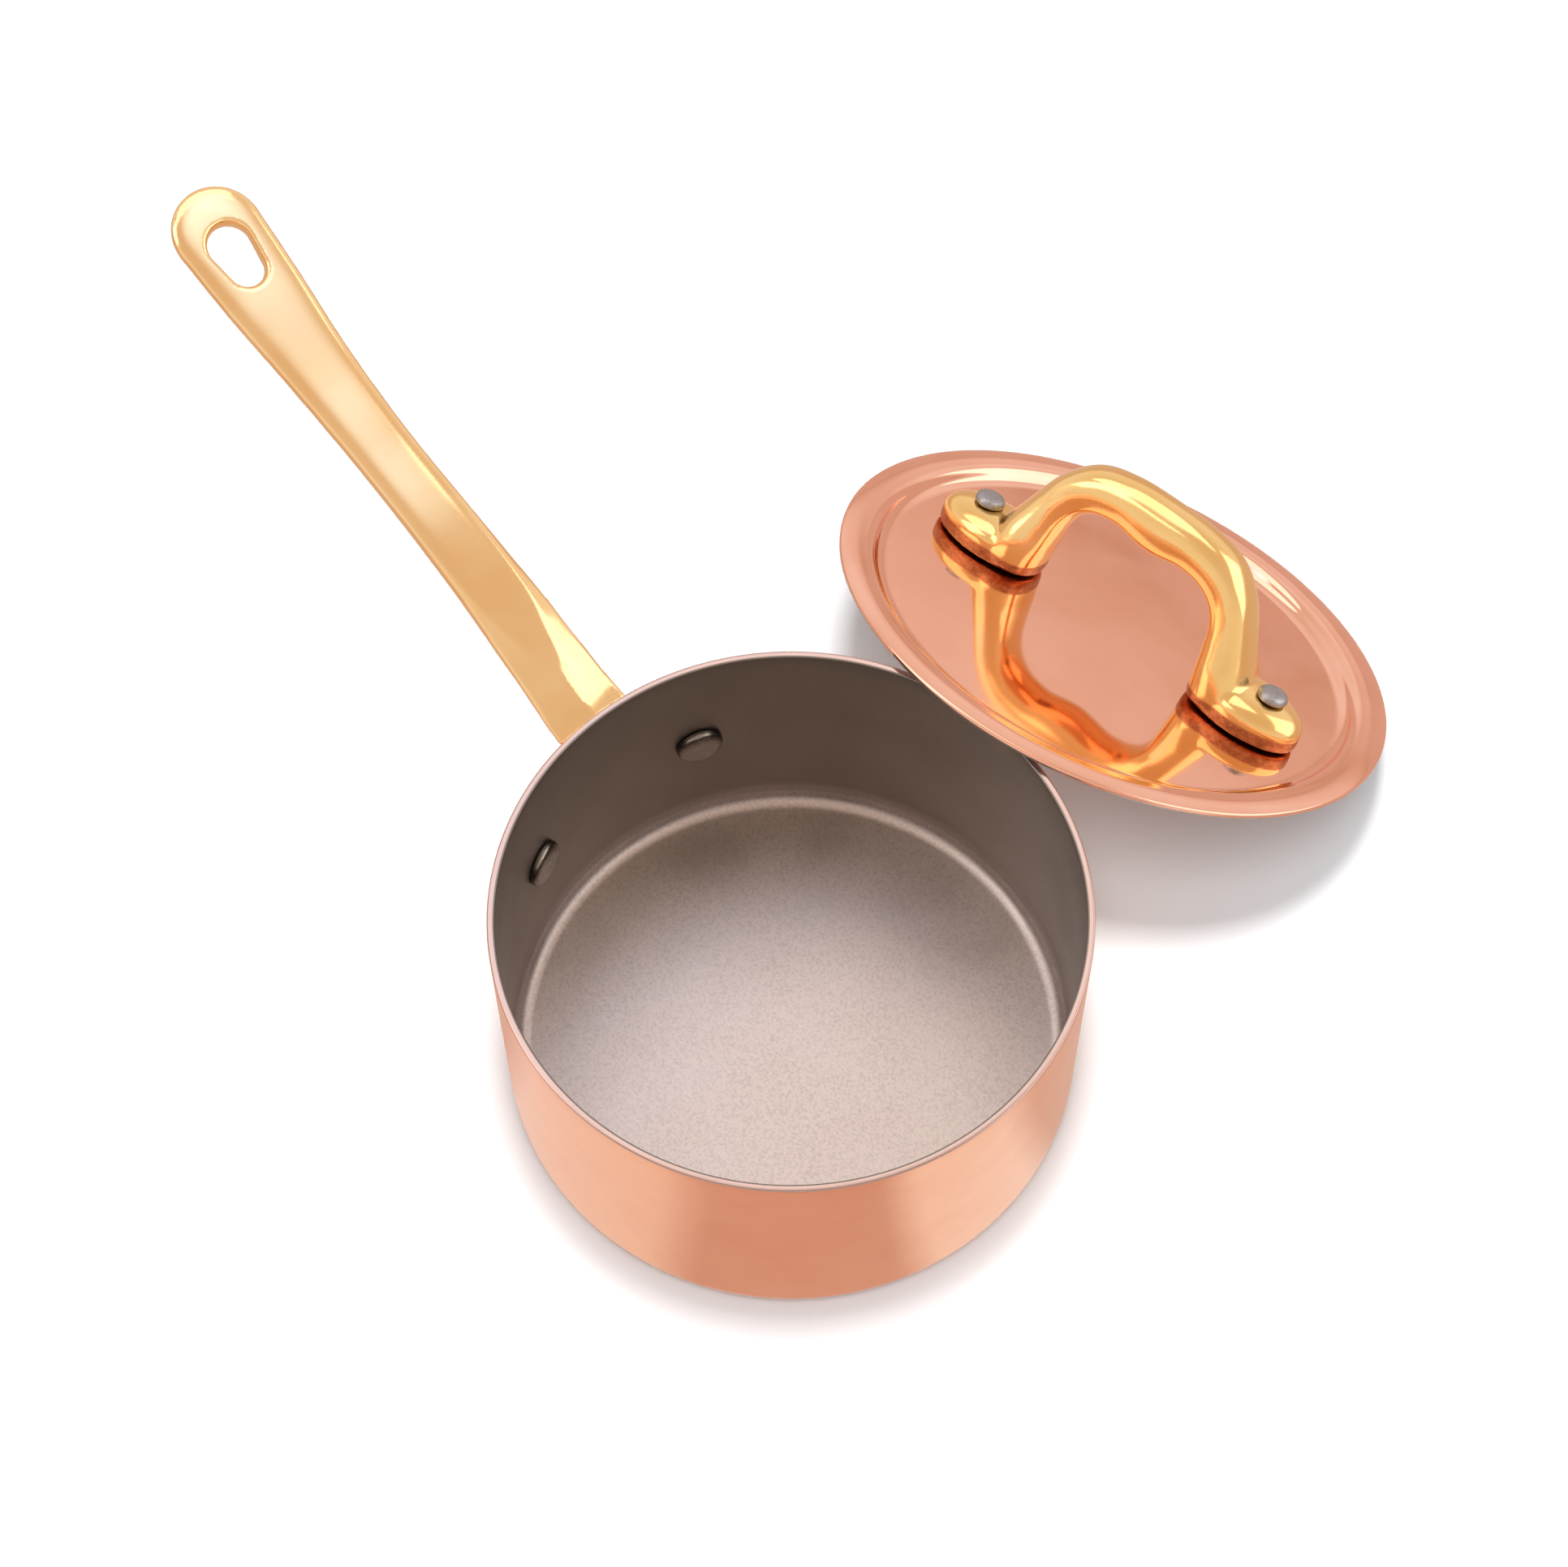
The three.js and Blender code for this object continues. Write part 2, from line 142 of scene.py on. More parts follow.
# The floor's half width, and the reflector over the handle's end, in metres: its place and its
# facing are given as right, away from the camera, and up.
FLOOR_HALF = 3.0
GLOW_PLACE = (-0.053, 0.147, 0.306)
GLOW_FACING = (-0.37, 0.0, -0.93)
GLOW_RADIUS = 0.09
GLOW_TONE = (0.86, 1, 1.34, 1)
GLOW_STRENGTH = 1.65

# The card's tones by the angle round the pan: 0 is on the camera's right, -90 in front.
CARD_TONES = [
    (-178, (0.75, 0.5, 0.42)),
    (-165, (0.95, 0.76, 0.68)),
    (-122, (0.92, 0.74, 0.65)),
    (-110, (0.7, 0.46, 0.38)),
    (-68, (0.7, 0.46, 0.38)),
    (-58, (0.98, 0.84, 0.77)),
    (-33, (0.98, 0.84, 0.77)),
    (-22, (0.74, 0.52, 0.43)),
    (40, (0.75, 0.55, 0.47)),
    (160, (0.72, 0.52, 0.42)),
]
# What the metal mirrors of the room, by the height of the direction looked in.
ROOM_TONES = [
    (0.0, (0.56, 0.36, 0.27)),
    (0.004, (0.74, 0.54, 0.44)),
    (0.05, (0.9, 0.73, 0.66)),
    (0.14, (0.98, 0.88, 0.84)),
    (0.5, (0.92, 0.8, 0.74)),
    (0.75, (0.82, 0.66, 0.56)),
    (1.0, (0.8, 0.62, 0.5)),
]
# What lights the floor from all sides.
FILL_TONE = (0.82, 0.92, 1, 1)
FILL_STRENGTH = 0.55
# Soft panels: azimuth and elevation round the pan in degrees, distance, width and height in metres,
# radiance, and whether the metal mirrors it or it only lights the floor.
PANELS = {
    "front_key": (-90, 70, 1.2, 0.4, 0.4, 9.5, False),
    "top_key": (90, 87, 1.2, 0.18, 0.18, 95, False),
    "overhead": (106, 62, 1.2, 1.2, 0.7, 1.1, True),
    "right_panel": (0, 30, 1.0, 1.2, 0.8, 1.05, True),
    "left_panel": (180, 40, 1.1, 0.5, 0.8, 1.5, True),
}


# ---- Mesh helpers ---------------------------------------------------------------------

def mesh_object(name, points, faces, sharp=40):
    """A smooth-shaded object from points in millimetres, with its faces turned outwards."""
    mesh = bpy.data.meshes.new(name)
    mesh.from_pydata([Vector(p) * MM for p in points], [], faces)
    shape = bmesh.new()
    shape.from_mesh(mesh)
    bmesh.ops.remove_doubles(shape, verts=shape.verts, dist=1e-7)
    bmesh.ops.recalc_face_normals(shape, faces=shape.faces)
    shape.to_mesh(mesh)
    shape.free()
    mesh.shade_smooth()
    mesh.set_sharp_from_angle(angle=math.radians(sharp))
    made = bpy.data.objects.new(name, mesh)
    bpy.context.scene.collection.objects.link(made)
    return made


def skin(rings, closed=True):
    """Points and faces of equal rings joined in a row, with a flat face at each end if closed."""
    count = len(rings[0])
    points = [p for ring in rings for p in ring]
    faces = []
    for row in range(len(rings) - 1):
        for i in range(count):
            a = row * count + i
            b = row * count + (i + 1) % count
            faces.append((a, b, b + count, a + count))
    if closed:
        last = (len(rings) - 1) * count
        faces.append(tuple(reversed(range(count))))
        faces.append(tuple(range(last, last + count)))
    return points, faces


def lathe(name, profile, steps=TURNS, sharp=40):
    """A (radius, height) profile turned about Z; it starts and ends on the axis."""
    points = [(0, 0, profile[0][1])]
    rings = profile[1:-1]
    for radius, height in rings:
        for i in range(steps):
            angle = 2 * math.pi * i / steps
            points.append((radius * math.cos(angle), radius * math.sin(angle), height))
    points.append((0, 0, profile[-1][1]))
    last = len(points) - 1
    faces = []
    for i in range(steps):
        after = (i + 1) % steps
        faces.append((0, 1 + i, 1 + after))
        faces.append((last, last - steps + after, last - steps + i))
        for row in range(len(rings) - 1):
            low = 1 + row * steps
            faces.append((low + i, low + after, low + steps + after, low + steps + i))
    return mesh_object(name, points, faces, sharp)


def arc(centre, radius, start, end, steps):
    """Points of an arc about centre, from one angle to another, in degrees."""
    angles = np.radians(np.linspace(start, end, steps + 1))
    return [(centre[0] + radius * math.cos(a), centre[1] + radius * math.sin(a)) for a in angles]


def bent(start, control, end, steps):
    """Points of a quadratic curve."""
    points = []
    for t in np.linspace(0, 1, steps + 1):
        near, middle, far = (1 - t) ** 2, 2 * t * (1 - t), t * t
        points.append(tuple(near * s + middle * c + far * e for s, c, e in zip(start, control, end)))
    return points


def resampled(stations, steps):
    """Rows evenly spaced along a smooth curve through the stations; columns 0 and 1 are its place."""
    rows = np.array(stations, float)
    knots = np.concatenate([[0], np.cumsum(np.hypot(*np.diff(rows[:, :2], axis=0).T))])
    slopes = np.gradient(rows, knots, axis=0)
    at = np.linspace(0, knots[-1], steps + 1)
    k = np.clip(np.searchsorted(knots, at, side="right") - 1, 0, len(knots) - 2)
    span = (knots[k + 1] - knots[k])[:, None]
    t = (at - knots[k])[:, None] / span
    return (
        (2 * t ** 3 - 3 * t ** 2 + 1) * rows[k]
        + (t ** 3 - 2 * t ** 2 + t) * span * slopes[k]
        + (3 * t ** 2 - 2 * t ** 3) * rows[k + 1]
        + (t ** 3 - t ** 2) * span * slopes[k + 1]
    )


def squared(share, squareness):
    """A sine or cosine, changed so that it draws a superellipse; squareness 2 leaves an ellipse."""
    return math.copysign(abs(share) ** (2 / squareness), share)


def section(half_width, half_thickness, squareness, flat, drop, around):
    """A superellipse with its two top corners cut off, as (across, over) points."""
    fall = Vector((drop, half_width * (1 - flat))).normalized()
    limit = fall.dot(Vector((flat * half_width, half_thickness)))
    ring = []
    for angle in np.linspace(0, 2 * math.pi, around, endpoint=False):
        across = squared(math.cos(angle), squareness) * half_width
        over = squared(math.sin(angle), squareness) * half_thickness
        reach = fall.x * abs(across) + fall.y * over
        kept = min(1, limit / reach) if drop > 0.01 and over > 0 else 1
        ring.append((across * kept, over * kept))
    return ring


def lofted(name, stations, steps, around, place):
    """A closed bar of such sections along a curve; place(out, side, height) sets each point."""
    rows = resampled(stations, steps)
    along = np.gradient(rows[:, :2], axis=0)
    along /= np.linalg.norm(along, axis=1)[:, None]
    rings = []
    for (out, height, *shape), (run, rise) in zip(rows, along):
        ring = section(*shape, around)
        rings.append([place(out - rise * over, across, height + run * over) for across, over in ring])
    return mesh_object(name, *skin(rings))


def prism(name, outline, low, high, place):
    """A flat (x, y) outline given height; place(x, y, z) sets each point."""
    rings = [[place(x, y, z) for x, y in outline] for z in (low, high)]
    return mesh_object(name, *skin(rings))


def with_modifiers(target, *kinds):
    """Applies modifiers, given as (kind, settings), and keeps only the finished mesh."""
    for kind, settings in kinds:
        modifier = target.modifiers.new(kind.lower(), kind)
        for key, value in settings.items():
            setattr(modifier, key, value)
    depsgraph = bpy.context.evaluated_depsgraph_get()
    finished = bpy.data.meshes.new_from_object(target.evaluated_get(depsgraph))
    target.modifiers.clear()
    target.data = finished
    finished.shade_smooth()
    return target


def discard(*objects):
    for item in objects:
        bpy.data.objects.remove(item)


def fused(target, others, smoothing, cutters=()):
    """Casts overlapping closed bodies into one, cuts it, and softens where they meet."""
    remesh = ("REMESH", {"mode": "VOXEL", "voxel_size": CAST_GRAIN * MM})
    joined = bmesh.new()
    for item in (target, *others):
        joined.from_mesh(item.data)
    joined.to_mesh(target.data)
    joined.free()
    discard(*others)
    with_modifiers(target, remesh)
    for cutter in cutters:
        cut = {"operation": "DIFFERENCE", "solver": "EXACT", "object": cutter}
        with_modifiers(target, ("BOOLEAN", cut))
    discard(*cutters)
    with_modifiers(target, remesh, ("SMOOTH", {"factor": 0.5, "iterations": smoothing}))
    return target


# ---- Node helpers ---------------------------------------------------------------------

def add(tree, kind, inputs=None, **settings):
    """A node with its settings and unlinked inputs; an input given as a socket is linked."""
    made = tree.nodes.new(kind)
    for key, value in settings.items():
        setattr(made, key, value)
    for key, value in (inputs or {}).items():
        if isinstance(value, bpy.types.NodeSocket):
            tree.links.new(value, made.inputs[key])
        else:
            made.inputs[key].default_value = value
    return made


def metal(name, roughness):
    """A new metal material, its tree and its shader."""
    material = bpy.data.materials.new(name)
    material.use_nodes = True
    shader = material.node_tree.nodes["Principled BSDF"]
    shader.inputs["Metallic"].default_value = 1
    shader.inputs["Roughness"].default_value = roughness
    return material, material.node_tree, shader


def place_of(tree):
    """The place on the piece in its own frame, before the piece was put where it stands."""
    return add(tree, "ShaderNodeAttribute", attribute_name="place").outputs["Vector"]


def noise(tree, where, scale, detail=3.0, roughness=0.5):
    inputs = {"Vector": where, "Scale": scale, "Detail": detail, "Roughness": roughness}
    return add(tree, "ShaderNodeTexNoise", inputs).outputs["Fac"]


def ranged(tree, value, low, high, start=0.0, end=1.0):
    """value, mapped smoothly from low..high to start..end."""
    inputs = {"Value": value, "From Min": low, "From Max": high, "To Min": start, "To Max": end}
    return add(tree, "ShaderNodeMapRange", inputs, interpolation_type="SMOOTHSTEP").outputs["Result"]


def mixed(tree, factor, first, second):
    """A colour between two others, each a socket or a plain colour."""
    made = add(tree, "ShaderNodeMix", data_type="RGBA")
    sockets = {s.name: s for s in made.inputs if s.type == "RGBA"}
    tree.links.new(factor, made.inputs[0])
    for key, value in (("A", first), ("B", second)):
        if isinstance(value, bpy.types.NodeSocket):
            tree.links.new(value, sockets[key])
        else:
            sockets[key].default_value = (*value, 1)
    return next(s for s in made.outputs if s.type == "RGBA")


def toned(tree, value, stops):
    """A colour ramp over value, from (position, colour) stops."""
    ramp = add(tree, "ShaderNodeValToRGB", {0: value})
    marks = ramp.color_ramp.elements
    while len(marks) < len(stops):
        marks.new(0.5)
    for mark, (position, tone) in zip(marks, stops):
        mark.position = position
        mark.color = (*tone, 1)
    return ramp.outputs[0]


def bumped(tree, shader, height, strength, depth, below=None):
    """Adds relief, depth millimetres deep, to a shader, over another bump if there is one."""
    inputs = {"Height": height, "Strength": strength, "Distance": depth * MM}
    if below:
        inputs["Normal"] = below
    bump = add(tree, "ShaderNodeBump", inputs)
    tree.links.new(bump.outputs["Normal"], shader.inputs["Normal"])
    return bump.outputs["Normal"]


def turned_place(tree, along, across, disc):
    """Coordinates stretched round Z, for marks left by turning: disc marks lie on circles."""
    where = place_of(tree)
    flat = add(tree, "ShaderNodeVectorMath", {0: where, 1: (1, 1, 0)}, operation="MULTIPLY")
    unit = add(tree, "ShaderNodeVectorMath", {0: flat.outputs[0]}, operation="NORMALIZE")
    if disc:
        reach = add(tree, "ShaderNodeVectorMath", {0: flat.outputs[0]}, operation="LENGTH")
        level = reach.outputs["Value"]
    else:
        level = add(tree, "ShaderNodeSeparateXYZ", {0: where}).outputs["Z"]
    rise = add(tree, "ShaderNodeMath", {0: level, 1: across}, operation="MULTIPLY")
    lift = add(tree, "ShaderNodeCombineXYZ", {2: rise.outputs[0]})
    inputs = {0: unit.outputs[0], 1: (along, along, 0), 2: lift.outputs[0]}
    return add(tree, "ShaderNodeVectorMath", inputs, operation="MULTIPLY_ADD").outputs[0]


# ---- Materials ------------------------------------------------------------------------

def pan_copper():
    """Satin copper, brushed round the pan, with a greyer rim."""
    material, tree, shader = metal("pan_copper_satin", 0.2)
    where = place_of(tree)
    height = add(tree, "ShaderNodeSeparateXYZ", {0: where}).outputs["Z"]
    cloud = noise(tree, where, 55, 2)
    lines = noise(tree, turned_place(tree, 4, 5200, False), 1, 4, 0.6)
    tone = mixed(tree, ranged(tree, cloud, 0.35, 0.65), (0.93, 0.53, 0.35), (0.96, 0.57, 0.38))
    tone = mixed(tree, ranged(tree, lines, 0.3, 0.7, 0, 0.25), tone, (0.88, 0.46, 0.29))
    rim = ranged(tree, height, (PAN_HEIGHT - 0.35) * MM, (PAN_HEIGHT - 0.1) * MM)
    tone = mixed(tree, rim, tone, (0.5, 0.375, 0.345))
    tree.links.new(tone, shader.inputs["Base Color"])
    tree.links.new(ranged(tree, lines, 0.25, 0.75, 0.16, 0.24), shader.inputs["Roughness"])
    bumped(tree, shader, lines, 0.2, 0.01)
    return material


def lid_copper():
    """Mirror-polished copper with faint rings and a few smudges."""
    material, tree, shader = metal("lid_copper_polished", 0.1)
    where = place_of(tree)
    cloud = noise(tree, where, 45, 3)
    rings = noise(tree, turned_place(tree, 3, 2600, True), 1, 3, 0.6)
    speck = noise(tree, where, 1600, 2)
    tone = mixed(tree, ranged(tree, cloud, 0.35, 0.65), (0.9, 0.5, 0.36), (0.93, 0.54, 0.4))
    tone = mixed(tree, ranged(tree, speck, 0.6, 0.8, 0, 0.2), tone, (0.8, 0.4, 0.28))
    tree.links.new(tone, shader.inputs["Base Color"])
    tree.links.new(ranged(tree, cloud, 0.3, 0.7, 0.04, 0.09), shader.inputs["Roughness"])
    bumped(tree, shader, rings, 0.12, 0.004)
    return material


def lining_steel(name, disc):
    """Matt stainless lining: a speckled, lightly scratched floor under turned walls; in the pan the
    walls carry painted shade, a much darker tone.
    """
    material, tree, shader = metal(name, 0.4)
    where = place_of(tree)
    cloud = noise(tree, where, 60, 4)
    speck = noise(tree, where, 1500, 3, 0.7)
    lines = noise(tree, turned_place(tree, 6, 3000, disc), 1, 4, 0.6)
    height = add(tree, "ShaderNodeSeparateXYZ", {0: where}).outputs["Z"]
    wall_shade = ranged(tree, height, 3 * MM, 9 * MM)
    inputs = {"Vector": where, "Rotation": (0, 0, -VIEW_AZIMUTH), "Scale": (220, 2600, 1)}
    wiped = noise(tree, add(tree, "ShaderNodeMapping", inputs).outputs[0], 1, 4, 0.6)
    tone = mixed(tree, ranged(tree, cloud, 0.35, 0.65), (0.59, 0.52, 0.49), (0.65, 0.575, 0.545))
    tone = mixed(tree, ranged(tree, speck, 0.4, 0.7, 0, 0.55), tone, (0.42, 0.355, 0.335))
    tone = mixed(tree, ranged(tree, wiped, 0.5, 0.75, 0, 0.3), tone, (0.72, 0.66, 0.64))
    # Painted shade: in the pan the walls, from 3 mm up and fully from 9 mm, are painted far darker than
    # the floor.
    if not disc:
        tone = mixed(tree, wall_shade, tone, (0.26, 0.225, 0.195))
    tree.links.new(tone, shader.inputs["Base Color"])
    tree.links.new(ranged(tree, cloud, 0.3, 0.7, 0.4, 0.46), shader.inputs["Roughness"])
    fine = bumped(tree, shader, speck, 0.5, 0.012)
    bumped(tree, shader, lines, 0.2, 0.008, fine)
    return material


def brass(name, light, deep, roughness, edge=None):
    """Cast brass, polished by hand; below the height edge (mm) it carries a painted reflection: a dark
    copper-brown tone, as of the copper lid mirrored in the feet's upright sides.
    """
    material, tree, shader = metal(name, roughness)
    where = place_of(tree)
    cloud = noise(tree, where, 60, 2)
    hair = noise(tree, where, 2200, 4, 0.7)
    tone = mixed(tree, ranged(tree, cloud, 0.35, 0.65), deep, light)
    rough = ranged(tree, hair, 0.3, 0.7, roughness * 0.7, roughness * 1.4)
    # Painted reflection: below the edge the upright sides of the feet are painted a mottled dark
    # copper-brown, and made a little rougher.
    if edge is not None:
        height = add(tree, "ShaderNodeSeparateXYZ", {0: where}).outputs["Z"]
        painted_reflection_share = ranged(tree, height, (edge - 0.4) * MM, (edge + 0.2) * MM, 1, 0)
        reflection_mottle = noise(tree, where, 900, 4, 0.7)
        reflected_copper = mixed(tree, ranged(tree, reflection_mottle, 0.3, 0.7), (0.36, 0.14, 0.06), (0.6, 0.28, 0.13))
        tone = mixed(tree, painted_reflection_share, tone, reflected_copper)
        inputs = {0: painted_reflection_share, 1: 0.2, 2: rough}
        rough = add(tree, "ShaderNodeMath", inputs, operation="MULTIPLY_ADD").outputs[0]
    tree.links.new(tone, shader.inputs["Base Color"])
    tree.links.new(rough, shader.inputs["Roughness"])
    wave = bumped(tree, shader, cloud, 0.5, 0.05)
    bumped(tree, shader, hair, 0.15, 0.003, wave)
    return material


def rivet_steel(name, tone, roughness):
    """Plain steel with the small dents of the hammer."""
    material, tree, shader = metal(name, roughness)
    where = place_of(tree)
    dents = noise(tree, where, 600, 2)
    speck = noise(tree, where, 2500, 3)
    darker = tuple(value * 0.75 for value in tone)
    speckled = mixed(tree, ranged(tree, speck, 0.35, 0.7), tone, darker)
    rough = ranged(tree, dents, 0.3, 0.7, roughness * 0.8, roughness * 1.2)
    tree.links.new(speckled, shader.inputs["Base Color"])
    tree.links.new(rough, shader.inputs["Roughness"])
    bumped(tree, shader, dents, 0.4, 0.06)
    return material


# ---- Pan ------------------------------------------------------------------------------

def cup_line(inset):
    """Half of the cup, inset from its outside: from the axis along the base and up to the rim."""
    corner = (PAN_RADIUS - BASE_FILLET, BASE_FILLET)
    floor = [(radius, inset) for radius in np.linspace(0, corner[0], 8)[:-1]]
    fillet = arc(corner, BASE_FILLET - inset, -90, 0, 12)
    heights = np.linspace(BASE_FILLET + 4, PAN_HEIGHT - 4, 6)
    return floor + fillet + [(PAN_RADIUS - inset, height) for height in heights]


def pan_body():
    """The copper cup, with a rounded outer edge at the rim."""
    outer = cup_line(0)
    inner = cup_line(PAN_COPPER)
    edge = arc((PAN_RADIUS - RIM_ROUND, PAN_HEIGHT - RIM_ROUND), RIM_ROUND, 0, 90, 5)
    top = [(PAN_RADIUS - PAN_COPPER, PAN_HEIGHT)]
    return lathe("pan_body", outer + edge + top + inner[::-1])


def pan_steel():
    """The steel lining, with a rounded inner edge at the rim."""
    outer = cup_line(PAN_COPPER)
    inner = cup_line(PAN_WALL)
    top = [(PAN_RADIUS - PAN_COPPER, PAN_HEIGHT)]
    centre = (PAN_RADIUS - PAN_WALL + LINING_ROUND, PAN_HEIGHT - LINING_ROUND)
    edge = arc(centre, LINING_ROUND, 90, 180, 4)
    return lathe("pan_lining_sheet", outer + top + edge + inner[::-1])


def rivet(name, sizes, grip):
    """A rivet along Z: its tail under z = 0 and its head over z = grip."""
    tail, head, dome = sizes["tail"], sizes["head"], sizes["dome"]
    line = bent((0, -sizes["tail_dome"]), (tail, -sizes["tail_dome"]), (tail, 0), 10)
    line += [(sizes["shaft"], 0), (sizes["shaft"], grip)]
    line += bent((head * 0.94, grip), (head, grip), (head, grip + dome * 0.12), 3)
    line += bent((head, grip + dome * 0.35), (head * 0.96, grip + dome), (head * 0.3, grip + dome), 10)
    line += [(0, grip + dome)]
    return lathe(name, line, 72, 60)


def pan_rivets():
    """Two rivets through the wall: their heads in the pan, their tails on the flange's ears."""
    tail_face = FLANGE["inner"] + FLANGE["thickness"] + HEAD_GAP
    head_face = math.sqrt((PAN_RADIUS - PAN_WALL) ** 2 - PAN_RIVET["head"] ** 2) - HEAD_GAP
    made = []
    for side, name in ((-1, "left"), (1, "right")):
        item = rivet(f"pan_rivet_head_{name}", PAN_RIVET, tail_face - head_face)
        inwards = Matrix.Rotation(-math.pi / 2, 4, "Y")
        outwards = Matrix.Translation((tail_face * MM, 0, FLANGE["height"] * MM))
        turn = Matrix.Rotation(math.pi + side * PAN_RIVET_AZIMUTH, 4, "Z")
        item.data.transform(turn @ outwards @ inwards)
        made.append(item)
    return made


# ---- Pan handle -----------------------------------------------------------------------

def handle_end():
    """The matrix that lays a shape made flat on XY onto the round end of the strap."""
    rows = resampled(HANDLE, 60)
    run, rise = rows[-1, :2] - rows[-2, :2]
    slope = Matrix.Rotation(math.atan2(rise, run), 4, "Y")
    return Matrix.Translation(Vector((-rows[-1, 0], 0, rows[-1, 1])) * MM) @ slope


def end_disc():
    """The half-round end, with the strap's own edge."""
    width, thickness, squareness = HANDLE[-1][2:5]
    profile = []
    for angle in np.linspace(-math.pi / 2, math.pi / 2, 19):
        across = abs(squared(math.cos(angle), squareness))
        profile.append((width * across, thickness * squared(math.sin(angle), squareness)))
    profile[0] = (0, -thickness)
    profile[-1] = (0, thickness)
    disc = lathe("end_disc", profile, 96)
    disc.data.transform(handle_end())
    return disc


def hanging_hole():
    """A tapered oval cutter, flared at the top and the bottom for a rolled edge."""
    long, wide, narrow = HOLE["length"], HOLE["wide"], HOLE["narrow"]
    outline = arc((-(long / 2 - wide), 0), wide, 90, 270, 20)
    outline += arc((long / 2 - narrow, 0), narrow, -90, 90, 20)
    reach, straight = HOLE_CUTTER["reach"], HOLE_CUTTER["straight"]
    rings = []
    for level in np.linspace(-reach, reach, 21):
        flare = 1 + HOLE_CUTTER["flare"] * (max(0, abs(level) - straight) / reach) ** 2
        rings.append([(x * flare, y * flare, level) for x, y in outline])
    cutter = mesh_object("hanging_hole", *skin(rings))
    back = Matrix.Translation(((HOLE["back"] - HOLE["length"] / 2) * MM, 0, 0))
    cutter.data.transform(handle_end() @ back)
    return cutter


def flange():
    """The plate on the wall: two ears for the rivets and a rise that ends just below the strap."""
    inner, thickness, ear = FLANGE["inner"], FLANGE["thickness"], FLANGE["ear"]
    outer = inner + thickness
    reach = outer * math.sin(PAN_RIVET_AZIMUTH)
    mirrored_waist = (-FLANGE_WAIST[0], FLANGE_WAIST[1])
    mirrored_rise = (-FLANGE_RISE[0], FLANGE_RISE[1])
    outline = arc((reach, 0), ear, -90, 90, 16)
    outline += bent((reach, ear), FLANGE_WAIST, FLANGE_RISE, 8)[1:]
    outline += bent(mirrored_rise, mirrored_waist, (-reach, ear), 8)
    outline += arc((-reach, 0), ear, 90, 270, 16)[1:]
    outline += bent((-reach, -ear), (0, -ear - FLANGE["belly"]), (reach, -ear), 12)[1:-1]
    plate = prism("plate", outline, 20, 90, lambda x, y, z: (-z, x, FLANGE["height"] + y))
    arcs = []
    for radius, height in ((inner, 10), (outer, 10), (outer, 55), (inner, 55)):
        angles = np.radians(np.linspace(120, 240, 49))
        arcs.append([(radius * math.cos(a), radius * math.sin(a), height) for a in angles])
    shell = mesh_object("shell", *skin([list(row) for row in zip(*arcs)]))
    with_modifiers(plate, ("BOOLEAN", {"operation": "INTERSECT", "solver": "EXACT", "object": shell}))
    discard(shell)
    return plate


def pan_grip():
    """The handle: strap, round end, hanging hole and the flange below it, fused into one part."""
    strap = lofted("pan_grip", HANDLE, 160, 96, lambda out, side, height: (-out, side, height))
    return fused(strap, [end_disc(), flange()], GRIP_SMOOTHING, [hanging_hole()])


# ---- Lid, made lying flat and then leaned on the pan --------------------------------------

def lid_line(drop):
    """The lid's top surface, or the same surface lower down, from the middle to the edge."""
    line = [(radius, LID_FLOOR - drop) for radius in np.linspace(0, LID_FLAT, 8)]
    for *corners, steps in LID_CURVES:
        curve = bent(*((radius, height - drop) for radius, height in corners), steps)
        line += curve[1:] if curve[0] == line[-1] else curve
    return line


def lid_body():
    """The copper sheet, with a soft outer edge."""
    top = lid_line(0)
    under = lid_line(LID_COPPER)
    edge = bent((LID_RADIUS - LID_EDGE_ROUND, -0.05), (LID_RADIUS, -0.15), (LID_RADIUS, -0.45), 3)
    edge += [(LID_RADIUS, -LID_COPPER)]
    return lathe("lid_body", under + edge[::-1] + top[::-1])


def lid_steel():
    """The steel sheet under the copper."""
    top = lid_line(LID_COPPER)
    under = lid_line(LID_SHEET)
    edge = [(LID_RADIUS - 0.1, -LID_SHEET), (LID_RADIUS, -LID_COPPER)]
    return lathe("lid_lining_sheet", under + edge + top[::-1])


def foot(side):
    """An oval pad with upright sides under a dome."""
    rings = []
    for level in np.linspace(0, FOOT["side"], 5):
        rings.append((1.0, level))
    for angle in np.radians(np.linspace(6, 84, 14)):
        scale = math.cos(angle) ** FOOT_ROUNDNESS["across"]
        over = FOOT["dome"] * math.sin(angle) ** FOOT_ROUNDNESS["over"]
        rings.append((scale, FOOT["side"] + over))
    placed = []
    for scale, level in rings:
        ring = []
        for angle in np.linspace(0, 2 * math.pi, 64, endpoint=False):
            out = side * FOOT["reach"] + FOOT["length"] * scale * math.sin(angle)
            ring.append((FOOT["width"] * scale * math.cos(angle), out, level))
        placed.append(ring)
    return mesh_object("foot", *skin(placed))


def lid_grip():
    """The loop handle with its two feet."""
    mirrored = [(-out, *rest) for out, *rest in LOOP[:-1]]
    stations = LOOP + mirrored[::-1]
    loop = lofted("lid_grip", stations, 220, 72, lambda out, side, height: (side, out, max(height, 0)))
    whole = fused(loop, [foot(-1), foot(1)], LOOP_SMOOTHING)
    whole.data.transform(Matrix.Translation((0, 0, (LID_FLOOR + FOOT_GAP) * MM)))
    return whole


def lid_rivets():
    """Two rivets through the lid: their heads on the loop's feet, their tails under the lid."""
    tail_face = LID_FLOOR - LID_SHEET - HEAD_GAP
    head_face = LID_FLOOR + FOOT_GAP + FOOT["seat"] + HEAD_GAP
    made = []
    for side, name in ((-1, "right"), (1, "left")):
        item = rivet(f"lid_rivet_head_{name}", LID_RIVET, head_face - tail_face)
        item.data.transform(Matrix.Translation((0, side * LID_RIVET_REACH * MM, tail_face * MM)))
        made.append(item)
    return made


